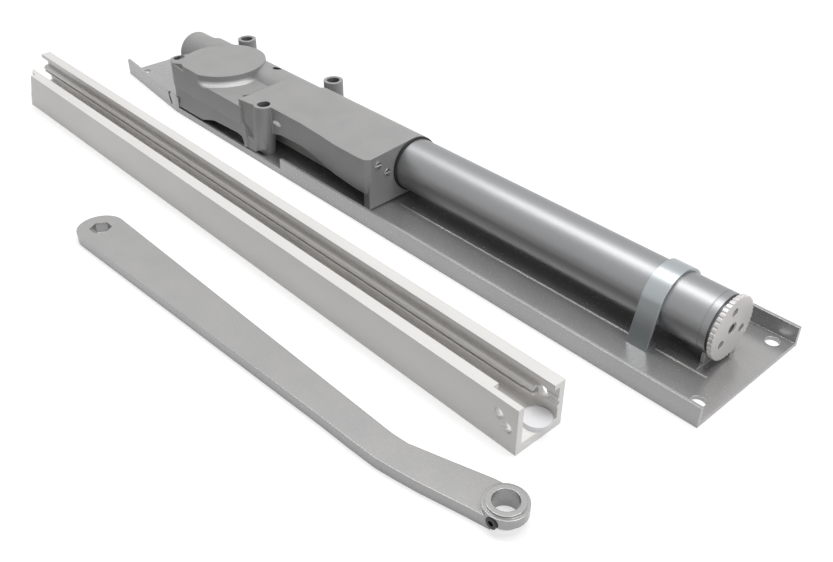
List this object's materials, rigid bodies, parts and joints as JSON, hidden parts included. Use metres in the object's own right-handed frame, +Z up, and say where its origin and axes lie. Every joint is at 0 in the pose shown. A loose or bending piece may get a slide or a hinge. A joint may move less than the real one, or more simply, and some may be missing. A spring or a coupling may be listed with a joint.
{
  "type": "concealed door closer",
  "caption": "Concealed door closer: cast body and spring tube on a flanged plate, with its slide track and lever arm laid beside it.",
  "frame": {"origin": "on the spindle's axis, at the underside of the mounting plate", "axes": "+X along the plate from the spindle to the spring adjuster, +Y across it away from the track and arm, +Z up out of the plate's open side"},
  "size_m": [0.5233, 0.2099, 0.0374],
  "materials": {
    "painted_steel": "silver-grey paint, satin",
    "painted_casting": "silver-grey paint over a fine cast skin",
    "satin_steel": "drawn tube, satin along its length",
    "zinc_steel": "bright zinc plate",
    "turned_steel": "turned and ground",
    "bright_steel": "polished",
    "spring_steel": "oiled spring wire",
    "bronze": "sintered bronze",
    "anodised": "satin anodised, warm grey",
    "white_nylon": "plain white nylon",
    "black_rubber": "plain",
    "black_steel": "blacked socket screw"
  },
  "bodies": {
    "closer": {"mounting_plate": "painted_steel", "closer_body": "painted_casting", "body_screws": "zinc_steel", "end_plug": "painted_casting", "end_plug_seal": "black_rubber", "bearing_cap": "turned_steel", "cap_seal": "black_rubber", "upper_bush": "bronze", "lower_bush": "bronze", "spindle_seal": "black_rubber", "tube_seal": "black_rubber", "spring_tube": "satin_steel", "tube_end_plug": "zinc_steel", "tube_strap": "zinc_steel", "strap_rivets": "zinc_steel"},
    "spindle": {"spindle": "turned_steel"},
    "piston": {"piston": "turned_steel", "main_spring": "spring_steel"},
    "check_ball": {"check_valve_ball": "bright_steel"},
    "adjuster": {"adjusting_screw": "turned_steel", "adjusting_disc": "zinc_steel"},
    "spring_nut": {"spring_nut": "turned_steel"},
    "sweep_valve": {"sweep_valve": "bright_steel"},
    "latch_valve": {"latch_valve": "bright_steel"},
    "track": {"track": "anodised"},
    "roller": {"track_roller": "white_nylon"},
    "arm": {"arm": "painted_steel"},
    "set_screw": {"arm_set_screw": "black_steel"}
  },
  "joints": [
    {"name": "spindle_turn", "type": "hinge", "parent": "closer", "child": "spindle", "pos_m": [0, 0, 0.016], "axis": [0, 0, -1], "range_deg": [0, 120]},
    {"name": "piston_slide", "type": "slide", "parent": "closer", "child": "piston", "axis": [1, 0, 0], "range_m": [0, 0.01885], "stiffness_N_per_m": 12000, "springref_m": -0.01, "deforming": ["main_spring"]},
    {"name": "check_ball_slide", "type": "slide", "parent": "piston", "child": "check_ball", "axis": [1, 0, 0], "range_m": [0, 0.0015]},
    {"name": "adjuster_turn", "type": "hinge", "parent": "closer", "child": "adjuster", "pos_m": [0.3555, 0.0165, 0.0204], "axis": [1, 0, 0], "range_deg": [-3600, 0]},
    {"name": "nut_slide", "type": "slide", "parent": "closer", "child": "spring_nut", "axis": [1, 0, 0], "range_m": [0, 0.02]},
    {"name": "sweep_valve_turn", "type": "hinge", "parent": "closer", "child": "sweep_valve", "pos_m": [0.1655, -0.0112, 0.029], "axis": [1, 0, 0], "range_deg": [0, 720]},
    {"name": "latch_valve_turn", "type": "hinge", "parent": "closer", "child": "latch_valve", "pos_m": [0.1655, -0.0044, 0.0223], "axis": [1, 0, 0], "range_deg": [0, 720]},
    {"name": "track_lift", "type": "slide", "parent": "closer", "child": "track", "axis": [0, 0, 1], "range_m": [0, 0.06]},
    {"name": "roller_slide", "type": "slide", "parent": "track", "child": "roller", "axis": [1, 0, 0], "range_m": [-0.45, 0]},
    {"name": "arm_lift", "type": "slide", "parent": "closer", "child": "arm", "axis": [0, 0, 1], "range_m": [0, 0.06]},
    {"name": "set_screw_turn", "type": "hinge", "parent": "arm", "child": "set_screw", "pos_m": [0.3797, -0.1325, 0.0052], "axis": [0, 1, 0], "range_deg": [0, 720]}
  ],
  "couplings": [
    {"joint": "spindle_turn", "follows": "piston_slide", "rad_per_m": 111.11},
    {"joint": "adjuster_turn", "follows": "nut_slide", "rad_per_m": -3141.6}
  ]
}
